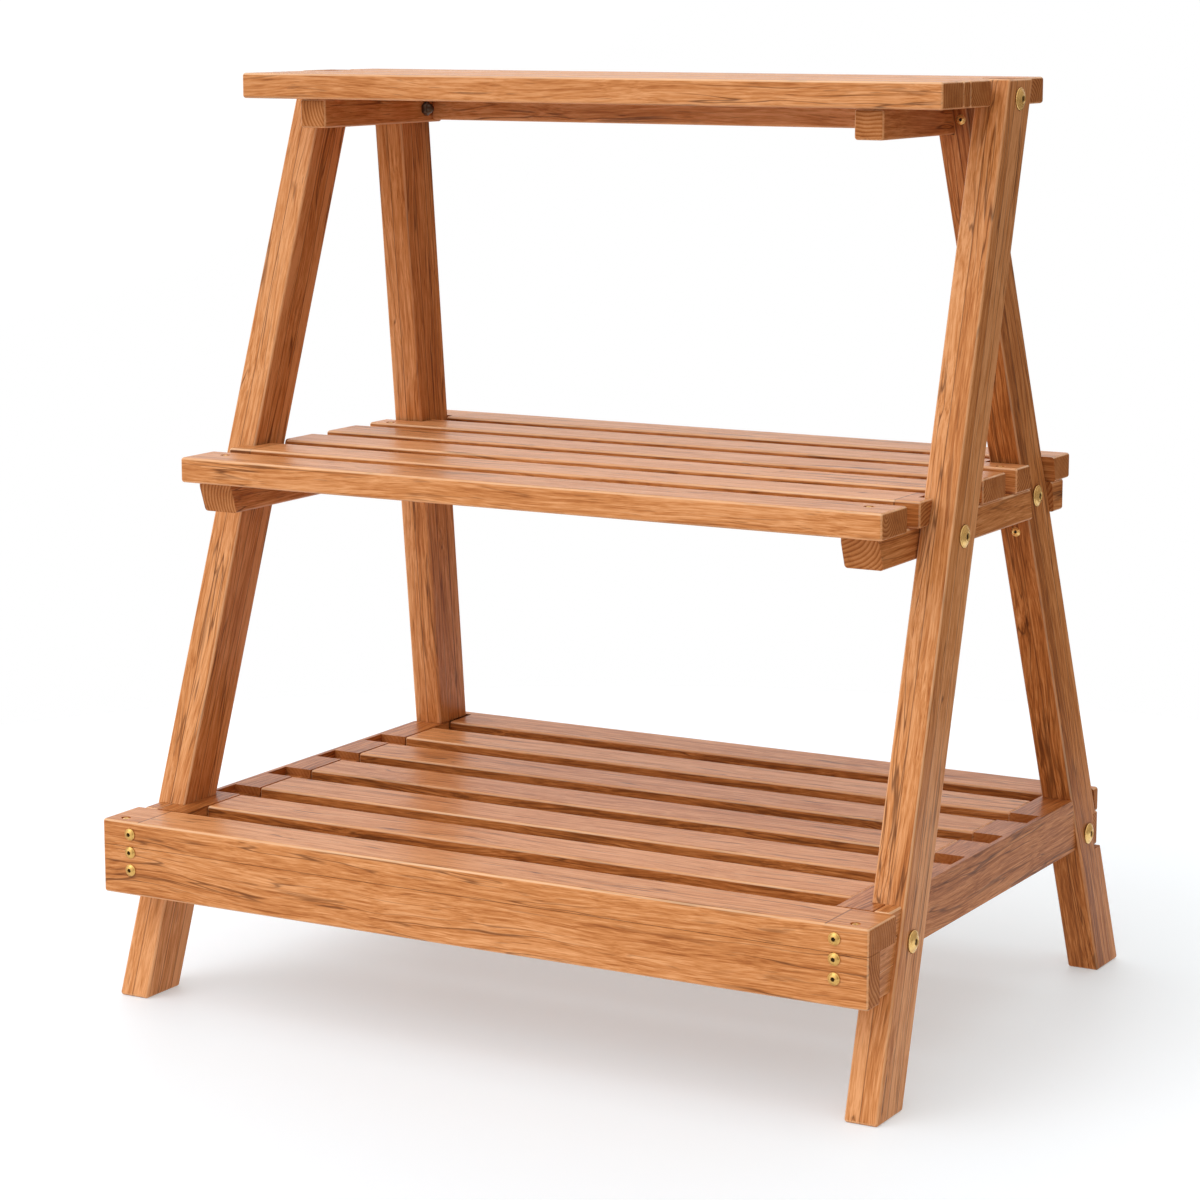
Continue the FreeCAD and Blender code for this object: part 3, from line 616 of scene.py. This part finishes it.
domeHead = {
    "sides": 48,
    "rimHigh": 0.4,  # shares of the head's height and half width
    "rimEase": 0.07,
    "shoulder": 1.6,  # times rimEase
    "bulge": 0.96,
    "domeSteps": 9,
    "socket": 0.33,
    "socketEase": 0.035,
    "domeEnd": 3,  # times socketEase, outside the socket
    "lipHigh": 0.985,
    "lipLow": 0.95,
    "wallLow": 0.48,
    "tipLow": 0.38,
    "tipWide": 0.5,  # times socket
    "socketRings": 2,
}
shankSides = 20


def circle(radius):
    return lambda angle: radius


def hexagon(flat):
    def reach(angle):
        turn = (angle + math.pi / 6) % (math.pi / 3) - math.pi / 6
        return flat / math.cos(turn)

    return reach


def ringMesh(name, rings, sides, closeBottom=True):
    mesh = bpy.data.meshes.new(name)
    build = bmesh.new()
    loops = []
    for radiusAt, height in rings:
        loop = []
        for side in range(sides):
            angle = 2 * math.pi * side / sides
            reach = radiusAt(angle)
            loop.append(build.verts.new((reach * math.cos(angle), reach * math.sin(angle), height)))
        loops.append(loop)
    for below, above in zip(loops, loops[1:]):
        for side in range(sides):
            after = (side + 1) % sides
            build.faces.new((below[side], below[after], above[after], above[side]))
    build.faces.new(loops[-1])
    if closeBottom:
        build.faces.new(list(reversed(loops[0])))
    bmesh.ops.recalc_face_normals(build, faces=build.faces)
    build.to_mesh(mesh)
    build.free()
    for face in mesh.polygons:
        face.use_smooth = len(face.vertices) == 4
    return mesh


def markRecess(mesh, firstRing, sides):
    # marks the socket's inner rings, which get painted shade
    mesh.attributes.new("recess", "FLOAT", "POINT")
    for number, vertex in enumerate(mesh.attributes["recess"].data):
        vertex.value = 1.0 if number // sides >= firstRing else 0.0


def domeRings():
    look = domeHead
    inner = 1 - look["rimEase"]
    rings = [
        (circle(inner), 0),
        (circle(1), look["rimEase"]),
        (circle(1), look["rimHigh"] - look["rimEase"]),
        (circle(inner), look["rimHigh"]),
    ]
    start = 1 - look["shoulder"] * look["rimEase"]
    stop = look["socket"] + look["domeEnd"] * look["socketEase"]

    def bulge(radius):
        return math.cos(math.asin(radius * look["bulge"]))

    for step in range(look["domeSteps"] + 1):
        radius = start + (stop - start) * step / look["domeSteps"]
        rise = (bulge(radius) - bulge(start)) / (1 - bulge(start))
        rings.append((circle(radius), look["rimHigh"] + (1 - look["rimHigh"]) * rise))
    rings.append((hexagon(look["socket"] + look["socketEase"]), look["lipHigh"]))
    rings.append((hexagon(look["socket"]), look["lipLow"]))
    rings.append((hexagon(look["socket"]), look["wallLow"]))
    rings.append((hexagon(look["socket"] * look["tipWide"]), look["tipLow"]))
    return rings


def islands(node):
    build = bmesh.new()
    build.from_mesh(nodes[node].data)
    bmesh.ops.remove_doubles(build, verts=build.verts, dist=1e-6)
    left = set(build.verts)
    found = []
    while left:
        group = {left.pop()}
        edge = list(group)
        while edge:
            vert = edge.pop()
            for link in vert.link_edges:
                other = link.other_vert(vert)
                if other in left:
                    left.remove(other)
                    group.add(other)
                    edge.append(other)
        spots = [vert.co for vert in group]
        low = Vector([min(spot[axis] for spot in spots) for axis in range(3)])
        high = Vector([max(spot[axis] for spot in spots) for axis in range(3)])
        found.append((low, high))
    build.free()
    return sorted(found, key=lambda box: tuple(round(value, 4) for value in box[0]))


def facingOf(kind, centre):
    if kind == "outward":
        return Vector((1 if centre.x > 0 else -1, 0, 0))
    if kind == "inward":
        return Vector((-1 if centre.x > 0 else 1, 0, 0))
    return {"front": Vector((0, -1, 0)), "back": Vector((0, 1, 0)), "up": Vector((0, 0, 1))}[kind]


def seatPoints(name, node, look):
    spots, facings, reaches = [], [], []
    for low, high in islands(node):
        centre = (low + high) / 2
        facing = facingOf(look["facing"], centre)
        half = abs((high - low).dot(facing)) / 2
        spots.append(centre + facing * (half - look["high"]))
        facings.append(facing)
        reaches.append(2 * half - look["high"])
    mesh = bpy.data.meshes.new(name)
    mesh.from_pydata(spots, [], [])
    mesh.attributes.new("facing", "FLOAT_VECTOR", "POINT")
    mesh.attributes.new("reach", "FLOAT", "POINT")
    for number in range(len(spots)):
        mesh.attributes["facing"].data[number].vector = facings[number]
        mesh.attributes["reach"].data[number].value = reaches[number]
    return addObject(name, mesh)


def fastenerTree():
    tree = bpy.data.node_groups.new("set_out_fasteners", "GeometryNodeTree")
    sockets = {}
    tree.interface.new_socket("Seats", in_out="INPUT", socket_type="NodeSocketGeometry")
    for label, kind in (
        ("Head", "NodeSocketObject"),
        ("Head Width", "NodeSocketFloat"),
        ("Head Height", "NodeSocketFloat"),
        ("Shank Width", "NodeSocketFloat"),
        ("Turn Seed", "NodeSocketInt"),
        ("Finish", "NodeSocketMaterial"),
    ):
        sockets[label] = tree.interface.new_socket(label, in_out="INPUT", socket_type=kind).identifier
    tree.interface.new_socket("Fasteners", in_out="OUTPUT", socket_type="NodeSocketGeometry")
    net = Net(tree)
    given = {socket.name: Wire(net, socket) for socket in tree.nodes.new("NodeGroupInput").outputs}

    facing = net.add("GeometryNodeInputNamedAttribute", {"data_type": "FLOAT_VECTOR"}, {"Name": "facing"})
    reach = net.add("GeometryNodeInputNamedAttribute", {"data_type": "FLOAT"}, {"Name": "reach"})
    aim = net.add("FunctionNodeAlignRotationToVector", {"axis": "Z"}, {"Vector": facing})
    angles = {"Min": 0.0, "Max": 2 * math.pi, "Seed": given["Turn Seed"]}
    turn = net.add("FunctionNodeRandomValue", {"data_type": "FLOAT"}, angles, 1)
    spin = net.add("FunctionNodeAxisAngleToRotation", {}, {"Axis": skyward, "Angle": turn})
    turns = {"Rotation": aim, "Rotate By": spin}
    turned = net.add("FunctionNodeRotateRotation", {"rotation_space": "LOCAL"}, turns)
    half = given["Head Width"] * 0.5
    capped = net.add("GeometryNodeInstanceOnPoints", {}, {
        "Points": given["Seats"],
        "Instance": net.add("GeometryNodeObjectInfo", {}, {"Object": given["Head"]}, "Geometry"),
        "Rotation": turned,
        "Scale": net.join(half, half, given["Head Height"]),
    })
    unitRod = {"Vertices": shankSides, "Radius": 0.5, "Depth": 1.0}
    rod = net.add("GeometryNodeMeshCylinder", {}, unitRod, "Mesh")
    shanks = net.add("GeometryNodeInstanceOnPoints", {}, {
        "Points": given["Seats"],
        "Instance": net.add("GeometryNodeTransform", {}, {"Geometry": rod, "Translation": (0, 0, -0.5)}),
        "Rotation": aim,
        "Scale": net.join(given["Shank Width"], given["Shank Width"], reach),
    })
    both = net.add("GeometryNodeJoinGeometry", {}, [capped])
    net.feed(both.out.node.inputs[0], shanks)
    real = net.add("GeometryNodeRealizeInstances", {}, {"Geometry": both})
    painted = net.add("GeometryNodeSetMaterial", {}, {"Geometry": real, "Material": given["Finish"]})
    net.feed(tree.nodes.new("NodeGroupOutput").inputs[0], painted)
    return tree, sockets


setOut, setOutInputs = fastenerTree()


def setFasteners(node, look, head, seed):
    seats = seatPoints(look["piece"] + "_seats", node, look)
    modifier = seats.modifiers.new("set out", "NODES")
    modifier.node_group = setOut
    choices = {
        "Head": head,
        "Head Width": look["wide"],
        "Head Height": look["high"],
        "Shank Width": look["shank"],
        "Turn Seed": seed,
        "Finish": metals[look["finish"]],
    }
    for label, value in choices.items():
        modifier[setOutInputs[label]] = value
    bpy.context.view_layer.update()
    ready = seats.evaluated_get(bpy.context.evaluated_depsgraph_get())
    mesh = bpy.data.meshes.new_from_object(ready)
    mesh.name = look["piece"]
    seats.modifiers.clear()
    bpy.data.objects.remove(seats)
    piece = addObject(look["piece"], mesh)
    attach(piece, "root")
    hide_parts(node)
    return len(mesh.polygons)


headRings = domeRings()
headMesh = ringMesh("dome_head", headRings, domeHead["sides"])
markRecess(headMesh, len(headRings) - domeHead["socketRings"], domeHead["sides"])
headSource = addObject("dome_head", headMesh)
for seed, (node, look) in enumerate(heads.items(), start=1):
    faces = setFasteners(node, look, headSource, seed)
    print("fasteners: %s, %d faces" % (look["piece"], faces))
bpy.data.objects.remove(headSource)


# cap nuts: a six-sided skirt under a dome
nutLook = {
    "piece": "cap_nuts",
    "finish": "black_steel",
    "wide": 0.012,
    "high": 0.009,
    "shank": 0.006,
    "facing": "inward",
}
capNut = {
    "sides": 48,
    "skirt": [(0.93, 0), (1, 0.05), (1, 0.46)],  # shares of the width across flats, and of the height
    "collar": [(0.96, 0.53), (0.84, 0.55)],
    "domeWide": 0.8,
    "domeFrom": 0.56,
    "domeHigh": 0.44,
    "domeLean": 84,
    "domeSteps": 7,
    "turnSeed": 9,
}


def capNutRings():
    look = capNut
    flat = math.cos(math.pi / 6)
    rings = [(hexagon(flat * share), height) for share, height in look["skirt"]]
    rings += [(circle(flat * share), height) for share, height in look["collar"]]
    lean = math.radians(look["domeLean"])
    for step in range(1, look["domeSteps"] + 1):
        lift = lean * step / look["domeSteps"]
        height = look["domeFrom"] + look["domeHigh"] * math.sin(lift) / math.sin(lean)
        rings.append((circle(flat * look["domeWide"] * math.cos(lift)), height))
    return rings


nutSource = addObject("cap_nut", ringMesh("cap_nut", capNutRings(), capNut["sides"]))
faces = setFasteners("leg_nuts", nutLook, nutSource, capNut["turnSeed"])
bpy.data.objects.remove(nutSource)
print("nuts: %d faces" % faces)


# a pale floor that glows a little, so that its shadows stay light
# the sky is brighter on the front left and warmer on its dim side; one soft sun
studio = {
    "floor": (0.73, 0.72, 0.745, 1),
    "floorRough": 0.6,
    "glow": 0.3,
    "glowTint": (0.8, 1, 1.05, 1),
    "reach": 1.25,
    "floorRings": (1, 0.6, 0.25),
    "floorSides": 64,
    "sky": {
        "frontLeft": {"from": (-0.45, -0.17, 0.87), "start": -0.5, "stop": 0.8, "low": 0.2, "high": 0.96},
        "slatSheen": {"from": (-0.48, 0.85, 0.25), "start": 0.7, "stop": 0.95, "low": 0, "high": 0.5},
        "shelfFronts": {"from": (-0.3, -0.92, 0.2), "start": 0.45, "stop": 0.9, "low": 0, "high": 0.55},
    },
    "skyWarm": (1, 0.67, 0.38, 1),
    "skyWhite": (1, 1, 1, 1),
    "sun": 0.6,
    "sunAngle": 45,
    "sunFrom": (-0.34, -0.5, 0.84),
}


def makeFloor():
    rings = [(circle(studio["reach"] * share), 0) for share in studio["floorRings"]]
    mesh = ringMesh("floor", rings, studio["floorSides"], False)
    material = blankMaterial("pale_floor")
    Net(material.node_tree).finish({
        "Base Color": studio["floor"],
        "Roughness": studio["floorRough"],
        "Emission Color": studio["glowTint"],
        "Emission Strength": studio["glow"],
    })
    mesh.materials.append(material)
    floor = addObject("floor", mesh)


def makeSky():
    world = bpy.data.worlds.new("studio")
    bpy.context.scene.world = world
    world.use_nodes = True
    net = Net(world.node_tree)
    where = net.place("Generated")

    def glowOf(part):
        lean = net.dot(where, Vector(part["from"]).normalized())
        return net.ease(lean, part["start"], part["stop"], part["low"], part["high"])

    # the stand is lit by the dome and seen against plain white
    dome = sum(glowOf(part) for part in studio["sky"].values())
    seen = net.add("ShaderNodeLightPath", {}, {}, "Is Camera Ray")
    strength = net.maths("MAXIMUM", dome, seen)
    backdrop = world.node_tree.nodes["Background"].inputs
    net.feed(backdrop["Strength"], strength)
    net.feed(backdrop["Color"], net.mix(studio["skyWarm"], studio["skyWhite"], strength))


def makeSun():
    sun = bpy.data.lights.new("key", "SUN")
    sun.energy = studio["sun"]
    sun.angle = math.radians(studio["sunAngle"])
    key = addObject("key", sun)
    key.rotation_euler = Vector(studio["sunFrom"]).to_track_quat("Z", "Y").to_euler()


makeFloor()
makeSky()
makeSun()
bpy.context.scene.view_settings.view_transform = "Standard"
print("studio ready")
